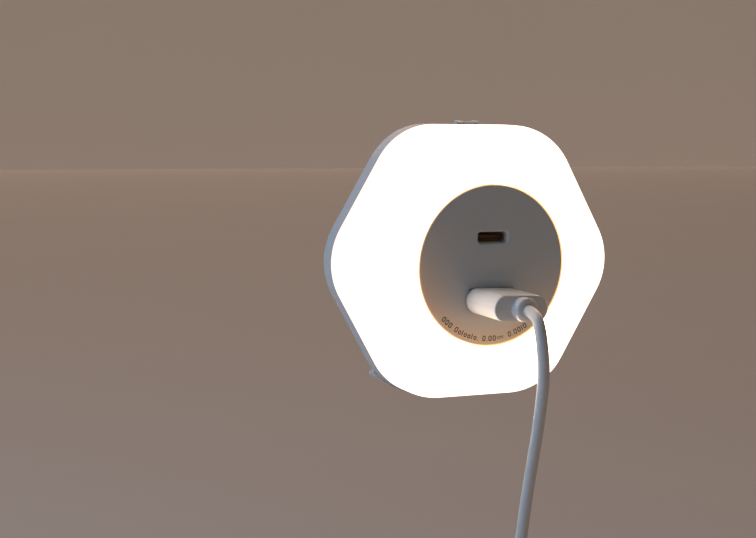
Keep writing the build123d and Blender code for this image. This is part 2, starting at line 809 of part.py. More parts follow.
coil_y = exit_y - coil_past_exit
with BuildPart() as cable_coil:
    with BuildSketch(Plane(origin=(coil_x, coil_y, coil_z), x_dir=(1, 0, 0), z_dir=(0, 0, 1))):
        with Locations((coil_radius, 0)):
            RectangleRounded(coil_section, coil_section, 2.4)
    revolve(axis=Axis((coil_x, coil_y, coil_z), (0, 1, 0)))
save(cable_coil, "cable_coil")

tie_width = 5.0
tie_wall = 0.9
with BuildPart() as cable_tie:
    with BuildSketch(Plane(origin=(coil_x - tie_width / 2, coil_y, coil_z + coil_radius), z_dir=(1, 0, 0))):
        RectangleRounded(coil_section + 2 * tie_wall + 0.6, coil_section + 2 * tie_wall + 0.6, 2.9)
        RectangleRounded(coil_section + 0.6, coil_section + 0.6, 2.3, mode=Mode.SUBTRACT)
    extrude(amount=tie_width)
save(cable_tie, "cable_tie")

end_route = [
    (-13.4, exit_y - 1.1, -95.0),
    (-13.6, exit_y - 0.5, -102.0),
    (-13.9, exit_y - 0.2, -109.5),
    (-14.1, exit_y - 0.4, -117.0),
]
with BuildPart() as cable_end:
    end_path = tube(end_route, cable_diameter / 2)
report_tube("cable_end", end_route, end_path, cable_end, cable_diameter / 2)
save(cable_end, "cable_end")

end_x, end_y, end_z = end_route[-1]
end_grip_size = (10.2, 5.4)
end_grip_length = 18.0
end_collar_length = 5.0

with BuildPart() as end_plug_collar:
    with BuildSketch(Plane.XY.offset(end_z)):
        with Locations((end_x, end_y)):
            Circle(2.1)
    with BuildSketch(Plane.XY.offset(end_z - end_collar_length)):
        with Locations((end_x, end_y)):
            Circle(2.6)
    loft()
save(end_plug_collar, "end_plug_collar")

with BuildPart() as end_plug_grip:
    with BuildSketch(Plane.XY.offset(end_z - end_collar_length)):
        with Locations((end_x, end_y)):
            SlotOverall(*end_grip_size)
    extrude(amount=-end_grip_length)
    fillet(end_plug_grip.edges().group_by(Axis.Z)[-1], 0.9)
    fillet(end_plug_grip.edges().group_by(Axis.Z)[0], 0.4)
save(end_plug_grip, "end_plug_grip")

end_shell_size = (8.25, 2.4)
with BuildPart() as end_plug_shell:
    with BuildSketch(Plane.XY.offset(end_z - end_collar_length - end_grip_length)):
        with Locations((end_x, end_y)):
            SlotOverall(*end_shell_size)
            SlotOverall(end_shell_size[0] - 0.5, end_shell_size[1] - 0.5, mode=Mode.SUBTRACT)
    extrude(amount=-6.6)
save(end_plug_shell, "end_plug_shell")

whole = run_path.length + coil_turns * 2 * pi * coil_radius + end_path.length
print("cable length in all", round(whole, 1))
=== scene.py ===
"""Looks of the plug-in night light: camera, studio, finishes, charging cable and the small detail pieces."""
from math import cos, pi, radians, sin

import bpy
from mathutils import Matrix, Vector


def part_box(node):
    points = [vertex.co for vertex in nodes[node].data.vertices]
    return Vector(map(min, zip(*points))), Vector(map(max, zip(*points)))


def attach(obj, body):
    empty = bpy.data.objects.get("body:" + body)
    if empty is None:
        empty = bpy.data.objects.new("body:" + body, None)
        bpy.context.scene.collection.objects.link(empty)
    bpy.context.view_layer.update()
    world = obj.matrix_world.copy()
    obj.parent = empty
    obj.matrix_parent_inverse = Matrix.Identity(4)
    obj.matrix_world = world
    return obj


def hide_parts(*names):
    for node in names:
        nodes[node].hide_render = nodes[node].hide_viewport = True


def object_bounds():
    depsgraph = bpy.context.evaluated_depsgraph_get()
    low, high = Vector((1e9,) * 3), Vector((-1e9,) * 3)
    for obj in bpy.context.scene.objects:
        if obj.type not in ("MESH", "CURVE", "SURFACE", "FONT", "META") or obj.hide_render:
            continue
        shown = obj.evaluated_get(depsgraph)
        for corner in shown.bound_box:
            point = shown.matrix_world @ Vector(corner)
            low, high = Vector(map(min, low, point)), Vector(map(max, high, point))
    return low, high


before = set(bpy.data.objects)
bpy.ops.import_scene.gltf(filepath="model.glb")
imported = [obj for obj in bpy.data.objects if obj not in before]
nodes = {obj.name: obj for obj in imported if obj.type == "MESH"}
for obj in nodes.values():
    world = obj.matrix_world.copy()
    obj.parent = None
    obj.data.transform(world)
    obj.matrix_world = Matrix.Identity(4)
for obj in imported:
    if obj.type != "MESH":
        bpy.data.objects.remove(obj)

MM = 0.001
cad_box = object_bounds()


def mm(*numbers):
    """Millimetres to a vector in metres."""
    return Vector(numbers) * MM


# ---------------------------------------------------------------- sizes taken from the frame
face_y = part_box("port_plate")[0].y
grip_low, grip_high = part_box("usb_plug_grip")
collar_low, collar_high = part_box("usb_plug_collar")
c_tongue_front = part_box("usb_c_tongue")[0].y
coil_low, coil_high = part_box("cable_coil")
tie_low, tie_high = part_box("cable_tie")
end_grip_low, end_grip_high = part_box("end_plug_grip")
end_collar_low, end_collar_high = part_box("end_plug_collar")
c_shell_low, c_shell_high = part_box("usb_c_shell")
plug_z = (grip_low.z + grip_high.z) / 2
plug_turn = radians(2.4)
plug_width, plug_height = 15.6 * MM, 6.8 * MM
usb_c_z = (c_shell_low.z + c_shell_high.z) / 2


# ---------------------------------------------------------------- camera and studio
def set_camera():
    """Camera to the left of the light and a little above it."""
    aim = mm(-32.99, -45.0, 0.11)
    distance = 391.09 * MM
    turn, drop, roll = radians(24.64), radians(6.90), radians(1.16)
    ahead = Vector((sin(turn) * cos(drop), cos(turn) * cos(drop), -sin(drop)))
    level = ahead.cross(Vector((0, 0, 1))).normalized()
    upright = level.cross(ahead)
    right = level * cos(roll) + upright * sin(roll)
    up = upright * cos(roll) - level * sin(roll)
    data = bpy.data.cameras.new("camera")
    data.sensor_width = 36
    data.lens = 73.34
    data.clip_start = 0.01
    camera = bpy.data.objects.new("camera", data)
    facing = Matrix((right, up, -ahead)).transposed().to_4x4()
    camera.matrix_world = Matrix.Translation(aim - ahead * distance) @ facing
    bpy.context.scene.collection.objects.link(camera)
    bpy.context.scene.camera = camera


def add_light(name, place, look_at, size, power, colour):
    """Soft square light at a place, turned to a point."""
    data = bpy.data.lights.new(name, "AREA")
    data.shape = "SQUARE"
    data.size = size
    data.energy = power
    data.color = colour
    light = bpy.data.objects.new(name, data)
    facing = (look_at - place).to_track_quat("-Z", "Y").to_matrix().to_4x4()
    light.matrix_world = Matrix.Translation(place) @ facing
    bpy.context.scene.collection.objects.link(light)


def set_studio():
    """Dim even surround, a cool light from the left, a faint warm one from the right and a soft sun behind."""
    world = bpy.data.worlds.new("studio")
    world.use_nodes = True
    surround = world.node_tree.nodes["Background"]
    surround.inputs["Color"].default_value = (0.054, 0.052, 0.053, 1)
    surround.inputs["Strength"].default_value = 1.0
    bpy.context.scene.world = world
    bpy.context.scene.view_settings.view_transform = "Standard"
    middle = mm(0, -30, 0)
    panel = 0.5
    add_light("cool_left", Vector((-0.80, -0.02, 0.22)), middle, panel, 2.5, (0.43, 0.68, 1.0))
    add_light("warm_right", Vector((0.60, -0.45, -0.05)), middle, panel, 0.25, (1.0, 0.72, 0.48))
    sun = bpy.data.lights.new("soft_back", "SUN")
    sun.energy = 1.2
    sun.angle = radians(60)
    sun.color = (1.0, 0.74, 0.58)
    behind = bpy.data.objects.new("soft_back", sun)
    behind.rotation_euler = (radians(-50), 0, radians(-12))
    bpy.context.scene.collection.objects.link(behind)


def set_floor():
    """Pale floor a little below the hanging cable."""
    gap_below = 12 * MM
    clear_selection()
    bpy.ops.mesh.primitive_plane_add(size=40, location=(0, 0, cad_box[0][2] - gap_below))
    floor = bpy.context.active_object
    floor.name = "floor"
    finish = Finish("pale_floor", Roughness=0.8)
    cloud = finish.noise(6, detail=3)
    finish.feed("Base Color", finish.tint(cloud, (0.62, 0.575, 0.54), (0.65, 0.605, 0.57)))
    floor.data.materials.append(finish.material)


def set_far_wall():
    """Low pale wall far behind, which closes the gap above the floor's edge and casts no shadow."""
    clear_selection()
    bpy.ops.mesh.primitive_plane_add(size=1, location=(1.4, 3.0, 0.1), rotation=(pi / 2, 0, 0))
    wall = bpy.context.active_object
    wall.name = "far_wall"
    wall.scale = (4.4, 0.6, 1)
    bpy.ops.object.transform_apply(location=True, rotation=True, scale=True)
    finish = Finish("far_wall", Roughness=0.9, Emission_Strength=1.0)
    haze = finish.noise(3, detail=2)
    finish.feed("Emission Color", finish.tint(haze, (0.140, 0.101, 0.074), (0.146, 0.105, 0.077)))
    wall.data.materials.append(finish.material)
    wall.visible_shadow = False


# ---------------------------------------------------------------- shader maths
class Signal:
    """A shader value. Sums on it add Math nodes, so a pattern reads as an expression."""

    def __init__(self, finish, socket):
        self.finish = finish
        self.socket = socket

    def math(self, operation, *others):
        inputs = dict(enumerate((self, *others)))
        return self.finish.add("ShaderNodeMath", {"operation": operation}, inputs)

    def __add__(self, other):
        return self.math("ADD", other)

    def __sub__(self, other):
        return self.math("SUBTRACT", other)

    def __rsub__(self, other):
        return self.finish.add("ShaderNodeMath", {"operation": "SUBTRACT"}, {0: other, 1: self})

    def __mul__(self, other):
        return self.math("MULTIPLY", other)

    def __truediv__(self, other):
        return self.math("DIVIDE", other)

    def ramp(self, low, high):
        """0 below low, 1 above high, and even between them."""
        return self.finish.add(
            "ShaderNodeMapRange", {"clamp": True}, {"Value": self, "From Min": low, "From Max": high}
        )


class Finish:
    """A material round one Principled shader. Its fixed numbers sit on the shader's own sockets."""

    def __init__(self, name, **fixed):
        self.material = bpy.data.materials.new(name)
        self.material.use_nodes = True
        self.tree = self.material.node_tree
        self.shader = self.tree.nodes["Principled BSDF"]
        for socket, value in fixed.items():
            self.shader.inputs[socket.replace("_", " ")].default_value = value

    def add(self, kind, settings=None, inputs=None, out=0):
        """Add a node with its settings first, then the values or links of its sockets."""
        node = self.tree.nodes.new(kind)
        for name, value in (settings or {}).items():
            setattr(node, name, value)
        for name, value in (inputs or {}).items():
            if isinstance(value, Signal):
                self.tree.links.new(value.socket, node.inputs[name])
            else:
                node.inputs[name].default_value = value
        return Signal(self, node.outputs[out])

    def feed(self, socket, signal):
        self.tree.links.new(signal.socket, self.shader.inputs[socket])

    def place(self, stretch=(1, 1, 1)):
        """Object coordinates, stretched."""
        spot = self.add("ShaderNodeTexCoord", out="Object")
        return self.add("ShaderNodeMapping", None, {"Vector": spot, "Scale": stretch})

    def axes(self):
        """The X, Y and Z of a point on the piece, in metres."""
        spot = self.add("ShaderNodeTexCoord", out="Object")
        split = self.add("ShaderNodeSeparateXYZ", None, {"Vector": spot})
        outputs = split.socket.node.outputs
        return [Signal(self, outputs[i]) for i in range(3)]

    def noise(self, scale, detail=2.0, stretch=(1, 1, 1)):
        """Cloudy pattern, finer as the scale grows."""
        inputs = {"Vector": self.place(stretch), "Scale": scale, "Detail": detail}
        return self.add("ShaderNodeTexNoise", None, inputs)

    def tint(self, mask, low, high):
        """Colour between low and high by a mask. Either may be a signal."""
        ends = [c if isinstance(c, Signal) else (*c, 1) for c in (low, high)]
        return self.add("ShaderNodeMix", {"data_type": "RGBA"}, {0: mask, 6: ends[0], 7: ends[1]}, out=2)

    def relief(self, height, depth):
        """Bump of a height signal, depth in metres."""
        bump = self.add("ShaderNodeBump", None, {"Height": height, "Distance": depth})
        self.feed("Normal", bump)


# ---------------------------------------------------------------- finishes
def shade(colour, factor):
    """The colour made darker or lighter."""
    return tuple(min(1.0, c * factor) for c in colour)


def moulded_plastic(name, colour, rough=0.42, grain=2600, depth=0.000006, gloss=0.5, coat=0.0):
    """Moulded plastic with a fine spark-eroded grain, slow tone drift and faint handling marks."""
    finish = Finish(name, IOR=1.46, Specular_IOR_Level=gloss, Coat_Weight=coat, Coat_Roughness=0.25)
    drift = finish.noise(38, detail=3)
    speck = finish.noise(grain, detail=2)
    smear = finish.noise(120, detail=4, stretch=(1, 1, 2.5))
    body = finish.tint(drift, shade(colour, 0.95), shade(colour, 1.03))
    finish.feed("Base Color", finish.tint(speck.ramp(0.62, 0.8) * 0.35, body, shade(colour, 0.86)))
    finish.feed("Roughness", smear.ramp(0.35, 0.7) * 0.12 + (rough - 0.05))
    finish.relief(speck + drift * 0.6, depth)
    return finish.material


def opal_lit():
    """Opal diffuser lit from behind, brightest over the ring of lamps and warm at its hole and its seam."""
    finish = Finish("opal_lit", IOR=1.49, Emission_Strength=7.0)
    x, y, z = finish.axes()
    radius = (x * x + z * z).math("SQRT")
    lamps = finish.noise(55, detail=2)
    lamp_ring, last_lamp_light = 28 * MM, 34 * MM
    hole_edge, lit_again = 21.4 * MM, 21.9 * MM
    seam_start, seam_end = -29.9 * MM, -29.15 * MM
    outer = radius.ramp(lamp_ring, last_lamp_light)
    rim_of_hole = 1 - radius.ramp(hole_edge, lit_again)
    seam = y.ramp(seam_start, seam_end)
    core = finish.tint(lamps, (0.94, 0.70, 0.49), (1.0, 0.76, 0.55))
    face = finish.tint(outer, core, (0.30, 0.255, 0.21))
    glow = finish.tint(rim_of_hole.math("MAXIMUM", seam), face, (0.150, 0.068, 0.024))
    finish.feed("Emission Color", glow)
    finish.feed("Base Color", finish.tint(lamps, (0.80, 0.78, 0.74), (0.84, 0.82, 0.78)))
    speck = finish.noise(2400, detail=2)
    finish.feed("Roughness", speck * 0.1 + 0.38)
    finish.relief(speck, 0.000005)
    return finish.material


def port_plate_white():
    """Matt white plate with an even grain. Round its lower edge near the rim it has a painted orange glow
    (emission) for the lamp light reaching it.
    """
    finish = Finish("port_plate_white", IOR=1.46, Specular_IOR_Level=0.3, Emission_Strength=1.0)
    colour = (0.71, 0.77, 0.79)
    x, y, z = finish.axes()
    drift = finish.noise(45, detail=3)
    speck = finish.noise(3200, detail=3)
    finish.feed("Base Color", finish.tint(drift, shade(colour, 0.97), shade(colour, 1.03)))
    # Painted light: the plate is no lamp, but an orange emission, strongest low and near the rim, is painted
    # on for lamp light reaching its lower edge.
    radius = (x * x + z * z).math("SQRT")
    toward_left = -0.25
    near_rim = radius.ramp(3 * MM, 23 * MM)
    low = (x * toward_left - z).ramp(-14 * MM, 20 * MM)
    on_face = 1 - y.ramp(face_y + 0.1 * MM, face_y + 1.6 * MM)
    painted_glow_mask = near_rim * near_rim * low * low * on_face
    finish.feed("Emission Color", finish.tint(painted_glow_mask, (0, 0, 0), (0.33, 0.122, 0.002)))
    finish.feed("Roughness", speck * 0.16 + 0.44)
    finish.relief(speck, 0.000008)
    return finish.material


def pressed_steel(name, colour, rough=0.3, stretch=(1, 14, 1), scale=320, painted_lamp_glow=(0, 0, 0)):
    """Pressed or plated metal with drawn lines and a little dulling, and a painted glow (emission) for the
    lamp light that reaches it.
    """
    finish = Finish(name, Metallic=1.0, Emission_Strength=1.0)
    lines = finish.noise(scale, detail=4, stretch=stretch)
    cloud = finish.noise(160, detail=3)
    finish.feed("Base Color", finish.tint(cloud, shade(colour, 0.86), shade(colour, 1.05)))
    # Painted light: this emission is a painted glow for lamp light on the metal, none by default.
    finish.feed("Emission Color", finish.tint(cloud, shade(painted_lamp_glow, 0.8), painted_lamp_glow))
    finish.feed("Roughness", lines * 0.22 + cloud * 0.1 + (rough - 0.15))
    finish.relief(lines, 0.00001)
    return finish.material


def circuit_board(name, mask_colour, trace_colour, pitch):
    """Solder mask over copper traces, with plated dots where the traces meet."""
    finish = Finish(name, IOR=1.5, Coat_Weight=0.5, Coat_Roughness=0.15)
    cells = finish.add(
        "ShaderNodeTexVoronoi",
        {"distance": "MANHATTAN", "feature": "F1"},
        {"Vector": finish.place(), "Scale": 1 / pitch},
    )
    traces = cells.math("FRACT")
    lines = traces.ramp(0.40, 0.44) * (1 - traces.ramp(0.50, 0.54))
    dots = 1 - cells.ramp(0.10, 0.13)
    cloud = finish.noise(90, detail=3)
    board = finish.tint(cloud, shade(mask_colour, 0.88), shade(mask_colour, 1.1))
    traced = finish.tint(lines * 0.8, board, trace_colour)
    finish.feed("Base Color", finish.tint(dots * 0.9, traced, (0.75, 0.68, 0.5)))
    finish.feed("Roughness", cloud * 0.15 + 0.3)
    finish.relief(lines + dots, 0.00004)
    return finish.material


def lamp_lens():
    """Yellow phosphor of the light-emitting parts, glowing."""
    finish = Finish("lamp_lens", Roughness=0.25, IOR=1.5, Emission_Strength=3.0)
    grain = finish.noise(3000, detail=3)
    finish.feed("Base Color", finish.tint(grain, (0.88, 0.70, 0.25), (0.98, 0.84, 0.42)))
    finish.feed("Emission Color", finish.tint(grain, (1.0, 0.78, 0.46), (1.0, 0.86, 0.58)))
    finish.relief(grain, 0.00003)
    return finish.material


def wound_wire(name, colour, pitch):
    """Enamelled wire wound side by side. Its colour is painted darker in the grooves between turns and lighter
    on their crests: painted shade and painted highlight.
    """
    finish = Finish(name, IOR=1.5, Coat_Weight=0.6, Coat_Roughness=0.2, Metallic=0.4)
    y = finish.axes()[1]
    turns = (y * (2 * pi / pitch)).math("SINE")
    cloud = finish.noise(260, detail=3)
    # Painted shade in the grooves between turns and painted highlight on their crests.
    finish.feed("Base Color", finish.tint(turns.ramp(-0.9, 0.9), shade(colour, 0.55), shade(colour, 1.1)))
    finish.feed("Roughness", cloud * 0.2 + 0.25)
    finish.relief(turns, 0.00010)
    return finish.material


def taped_winding():
    """Yellow polyester tape wound over the coil, with lap lines."""
    finish = Finish("taped_winding", IOR=1.5, Coat_Weight=0.7, Coat_Roughness=0.12)
    tape_step = 2.6 * MM
    y = finish.axes()[1]
    laps = (y / tape_step).math("FRACT")
    edge = 1 - laps.ramp(0.0, 0.06)
    cloud = finish.noise(300, detail=4)
    tape = finish.tint(cloud, (0.78, 0.52, 0.06), (0.88, 0.63, 0.12))
    finish.feed("Base Color", finish.tint(edge, tape, (0.55, 0.34, 0.04)))
    finish.feed("Roughness", cloud * 0.2 + 0.2)
    finish.relief(laps + cloud * 0.3, 0.00006)
    return finish.material


def sleeve(name, colour, stripe):
    """Shrink sleeve with a pale polarity stripe down one side."""
    finish = Finish(name, IOR=1.5, Coat_Weight=0.4, Coat_Roughness=0.2)
    stripes_per_metre = 900
    x = finish.axes()[0]
    cloud = finish.noise(240, detail=3)
    band = (x * stripes_per_metre).math("FRACT").ramp(0.80, 0.84)
    body = finish.tint(cloud, shade(colour, 0.8), shade(colour, 1.2))
    finish.feed("Base Color", finish.tint(band * 0.8, body, stripe))
    finish.feed("Roughness", cloud * 0.2 + 0.28)
    finish.relief(cloud, 0.00003)
    return finish.material


def sintered(name, colour, rough=0.6, scale=1500):
    """Pressed and fired ceramic or ferrite with pores."""
    finish = Finish(name, IOR=1.6)
    pores = finish.noise(scale, detail=4)
    cloud = finish.noise(120, detail=2)
    finish.feed("Base Color", finish.tint(cloud, shade(colour, 0.85), shade(colour, 1.15)))
    finish.feed("Roughness", pores * 0.25 + (rough - 0.1))
    finish.relief(pores, 0.00006)
    return finish.material


def cable_jacket(name="cable_jacket", colour=(0.80, 0.79, 0.77)):
    """Soft satin jacket with an extruded skin and a slight waviness."""
    finish = Finish(name, IOR=1.48, Specular_IOR_Level=0.5, Sheen_Weight=0.15, Sheen_Roughness=0.5)
    skin = finish.noise(1900, detail=3)
    wave = finish.noise(140, detail=3)
    finish.feed("Base Color", finish.tint(wave, shade(colour, 0.95), shade(colour, 1.02)))
    finish.feed("Roughness", skin * 0.14 + 0.36)
    finish.relief(skin * 0.3 + wave, 0.00003)
    return finish.material


def strap_weave():
    """Woven hook-and-loop strap."""
    finish = Finish("strap_weave", Roughness=0.85, Sheen_Weight=0.4, Sheen_Roughness=0.4)
    weave = finish.add(
        "ShaderNodeTexWave",
        {"wave_type": "BANDS", "bands_direction": "DIAGONAL"},
        {"Vector": finish.place(), "Scale": 520, "Distortion": 1.5, "Detail": 2.0},
    )
    fuzz = finish.noise(2600, detail=4)
    finish.feed("Base Color", finish.tint(weave * 0.6 + fuzz * 0.4, (0.58, 0.58, 0.57), (0.80, 0.80, 0.79)))
    finish.relief(weave + fuzz, 0.00012)
    return finish.material


def printed_ink():
    """Dark grey pad-printed ink with slightly broken cover."""
    finish = Finish("printed_ink", IOR=1.45)
    cover = finish.noise(5200, detail=3)
    finish.feed("Base Color", finish.tint(cover.ramp(0.55, 0.8), (0.055, 0.052, 0.05), (0.16, 0.155, 0.15)))
    finish.feed("Roughness", cover * 0.2 + 0.5)
    finish.relief(cover, 0.000005)
    return finish.material


def plug_overmould():
    """Satin white overmould with a fine parting line round its middle."""
    finish = Finish("plug_overmould", IOR=1.48, Specular_IOR_Level=0.5, Coat_Weight=0.15, Coat_Roughness=0.3)
    x, _, z = finish.axes()
    skin = finish.noise(2100, detail=3)
    drift = finish.noise(90, detail=3)
    off_line = (z + x * sin(plug_turn) - plug_z).math("ABSOLUTE")
    line = 1 - off_line.ramp(0.00004, 0.00011)
    body = finish.tint(drift, (0.82, 0.81, 0.79), (0.87, 0.86, 0.84))
    finish.feed("Base Color", finish.tint(line * 0.22, body, (0.5, 0.49, 0.47)))
    finish.feed("Roughness", skin * 0.12 + 0.32)
    finish.relief(skin * 0.2 - line, 0.00002)
    return finish.material


# ---------------------------------------------------------------- modelling by hand
def clear_selection():
    """Select nothing."""
    bpy.ops.object.select_all(action="DESELECT")


def choose(*pieces):
    """Select only these pieces, the first one active."""
    clear_selection()
    for piece in pieces:
        piece.select_set(True)
    bpy.context.view_layer.objects.active = pieces[0]


def settle(piece, name, material, body, smooth=35):
    """Put a finished piece's place into its mesh, close it, smooth it and give it its finish and body."""
    choose(piece)
    piece.name = name
    piece.data.name = name
    bpy.ops.object.transform_apply(location=True, rotation=True, scale=True)
    bpy.ops.object.mode_set(mode="EDIT")
    bpy.ops.mesh.select_all(action="SELECT")
    bpy.ops.mesh.remove_doubles(threshold=0.000001)
    bpy.ops.mesh.normals_make_consistent(inside=False)
    bpy.ops.object.mode_set(mode="OBJECT")
    bpy.ops.object.shade_smooth_by_angle(angle=radians(smooth))
    piece.data.materials.clear()
    piece.data.materials.append(material)
    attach(piece, body)
    return piece


def rounded(piece, width, segments=3, angle=30):
    """Round the sharp edges of a piece."""
    bevel = piece.modifiers.new("rounded", "BEVEL")
    bevel.width = width
    bevel.segments = segments
    bevel.limit_method = "ANGLE"
    bevel.angle_limit = radians(angle)
    choose(piece)
    bpy.ops.object.modifier_apply(modifier=bevel.name)


def ringed(start, turn, rings, corners=32):
    """Closed solid through slot-shaped rings. A ring is its distance from the start, its width and height."""
    first_distance, width, height = rings[0]
    clear_selection()
    bpy.ops.mesh.primitive_circle_add(
        vertices=corners, radius=height / 2, fill_type="NGON", rotation=(0, 0, pi / corners)
    )
    piece = bpy.context.active_object
    bpy.ops.object.transform_apply(rotation=True)
    for vertex in piece.data.vertices:
        vertex.co.x += (width - height) / 2 if vertex.co.x > 0 else (height - width) / 2
    bpy.ops.object.mode_set(mode="EDIT")
    bpy.ops.mesh.select_all(action="SELECT")
    bpy.ops.transform.translate(value=(0, 0, first_distance))
    distance = first_distance
    for next_distance, next_width, next_height in rings[1:]:
        step = next_distance - distance
        bpy.ops.mesh.extrude_region_move(TRANSFORM_OT_translate={"value": (0, 0, step)})
        bpy.ops.transform.resize(
            value=(next_width / width, next_height / height, 1), center_override=(0, 0, next_distance)
        )
        distance, width, height = next_distance, next_width, next_height
    bpy.ops.object.mode_set(mode="OBJECT")
    piece.rotation_euler = turn
    piece.location = start
    return piece


def block(centre, size, round_width):
    """Small box with rounded edges."""
    clear_selection()
    bpy.ops.mesh.primitive_cube_add(size=1, location=centre, scale=size)
    piece = bpy.context.active_object
    bpy.ops.object.transform_apply(location=True, rotation=True, scale=True)
    rounded(piece, round_width, 2)
    return piece


def joined(pieces):
    """One object of several."""
    choose(*pieces)
    bpy.ops.object.join()
    return bpy.context.active_object


TOWARDS_ROOM = (pi / 2, 0, 0)
AWAY_FROM_ROOM = (-pi / 2, 0, 0)
DOWNWARDS = (pi, 0, 0)


def make_plug_grip(material):
    """Overmould of the cable's plug: softly tapered slot with rounded ends and a stepped cable collar."""
    length = grip_high.y - grip_low.y
    near_port = [(0, 0.8), (0.12, 0.25), (0.4, 0), (1.6, 0)]  # distance in from the end, and narrowing
    near_cable = [(1.4, 0), (0.40, 0), (0.17, 0.12), (0.04, 0.38), (0, 0.75), (0, 2.5)]
    profile = [(inset * MM, less * MM) for inset, less in near_port]
    profile += [(length - inset * MM, less * MM) for inset, less in near_cable]
    rings = [(along, plug_width - less, plug_height - less) for along, less in profile]
    start = Vector((0, grip_high.y, plug_z))
    piece = ringed(start, (pi / 2, plug_turn, 0), rings, 48)
    grip = settle(piece, "plug_grip", material, "charging_cable", 40)
    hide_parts("usb_plug_grip")

    radius = (collar_high.x - collar_low.x) / 2
    reach = collar_high.y - collar_low.y
    profile = [
        (-0.4, 1.0), (0.0, 1.0), (0.5, 1.0), (reach / MM - 0.55, 1.0), (reach / MM - 0.28, 0.97),
        (reach / MM - 0.08, 0.90), (reach / MM, 0.80), (reach / MM - 0.02, 0.60), (reach / MM - 0.12, 0.52),
    ]
    rings = [(z * MM, 2 * radius * share, 2 * radius * share) for z, share in profile]
    start = Vector((0, collar_high.y, plug_z))
    collar = settle(ringed(start, TOWARDS_ROOM, rings, 40), "plug_collar", material, "charging_cable", 40)
    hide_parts("usb_plug_collar")
    return grip, collar


def make_end_plug(material):
    """Grip and ribbed strain relief of the plug at the cable's far end."""
    length = end_grip_high.z - end_grip_low.z
    width = end_grip_high.x - end_grip_low.x
    height = end_grip_high.y - end_grip_low.y
    rings = [
        (0, width - 2.0 * MM, height - 1.8 * MM),
        (0.15 * MM, width - 1.2 * MM, height - 1.1 * MM),
        (0.8 * MM, width - 0.3 * MM, height - 0.3 * MM),
        (1.6 * MM, width, height),
        (length - 0.6 * MM, width, height),
        (length - 0.15 * MM, width - 0.4 * MM, height - 0.4 * MM),
        (length, width - 1.0 * MM, height - 1.0 * MM),
    ]
    middle = (end_grip_low + end_grip_high) / 2
    start = Vector((middle.x, middle.y, end_grip_high.z))
    grip = settle(ringed(start, DOWNWARDS, rings, 40), "end_grip", material, "charging_cable", 40)
    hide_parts("end_plug_grip")

    reach = end_collar_high.z - end_collar_low.z
    steps = 5
    rings = [(-0.2 * MM, 3.3 * MM, 3.3 * MM)]
    for i in range(steps):
        base = i * reach / steps
        rib = (3.9 + 0.28 * i) * MM
        groove = rib - 0.55 * MM
        rings += [(base + 0.05 * MM, rib, rib), (base + 0.62 * MM, rib, rib)]
        rings += [(base + 0.70 * MM, groove, groove), (base + 0.95 * MM, groove, groove)]
    start = Vector((middle.x, middle.y, end_collar_high.z))
    relief = settle(ringed(start, DOWNWARDS, rings, 32), "end_relief", material, "charging_cable", 40)
    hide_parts("end_plug_collar")
    return grip, relief


# ---------------------------------------------------------------- charging cable
cable_diameter = 3.0 * MM
coil_middle = (coil_low + coil_high) / 2
coil_radius = (coil_high.x - coil_low.x) / 2 - (coil_high.y - coil_low.y) / 2

route = [
    (0.0, collar_low.y / MM, plug_z / MM),
    (-0.4, -69.0, -9.6),
    (-1.4, -73.0, -12.6),
    (-1.5, -74.9, -18.4),
    (-1.2, -75.3, -25.0),
    (-1.5, -74.4, -33.5),
    (-1.8, -73.0, -42.5),
    (-2.3, -71.4, -52.0),
    (-2.7, -70.3, -60.5),
    (-3.4, -69.9, -69.0),
    (-6.4, -70.8, -77.0),
]
end_route = [
    (-13.6, -63.2, -102.0),
    (-13.9, -64.2, -109.5),
    (-14.1, -64.9, -117.0),
]


def coil_points():
    """Turns of the tied coil. Each keeps to one of nine lanes, three wide and three deep, and then shifts."""
    gap = 3.08 * MM
    lanes = [(1, -1), (0, -1), (-1, -1), (-1, 0), (-1, 1), (0, 1), (0, 0), (1, 0), (1, 1), (1, 2)]
    per_turn = 18
    entry = 180  # the cable comes in and goes out at the left
    start, finish = entry - 30, entry + 360 * (len(lanes) - 1)
    widen = 1 / (0.5 + 0.5 * cos(pi / per_turn))
    points = []
    for step in range((finish - start) // (360 // per_turn) + 1):
        angle = start + step * 360 // per_turn
        turn, within = divmod(max(angle - entry, 0), 360)
        turn = min(turn, len(lanes) - 2)
        change = 330 - 24 * turn
        share = min(max((within - change + 20) / 40, 0), 1)
        blend = share * share * (3 - 2 * share)
        near, far = lanes[turn], lanes[turn + 1]
        outward = (near[0] * (1 - blend) + far[0] * blend) * gap
        back = (near[1] * (1 - blend) + far[1] * blend) * gap
        radius = (coil_radius + outward) * widen
        lean = radians(angle)
        points.append(coil_middle + Vector((radius * cos(lean), back, radius * sin(lean))))
    return points


def make_cable(material):
    """The charging cable: one smooth line from the plug's collar through the coil to the far plug."""
    points = [mm(*p) for p in route] + coil_points() + [mm(*p) for p in end_route]
    line = bpy.data.curves.new("charging_lead", "CURVE")
    line.dimensions = "3D"
    spline = line.splines.new("NURBS")
    spline.points.add(len(points) - 1)
    for point, place in zip(spline.points, points):
        point.co = (*place, 1)
    spline.order_u = 3
    spline.use_endpoint_u = True
    spline.resolution_u = 8
    line.bevel_depth = cable_diameter / 2
    line.bevel_resolution = 6
    line.use_fill_caps = True
    line.materials.append(material)
    cable = bpy.data.objects.new("charging_lead", line)
    bpy.context.scene.collection.objects.link(cable)
    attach(cable, "charging_cable")
    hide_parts("cable_run", "cable_coil", "cable_end")


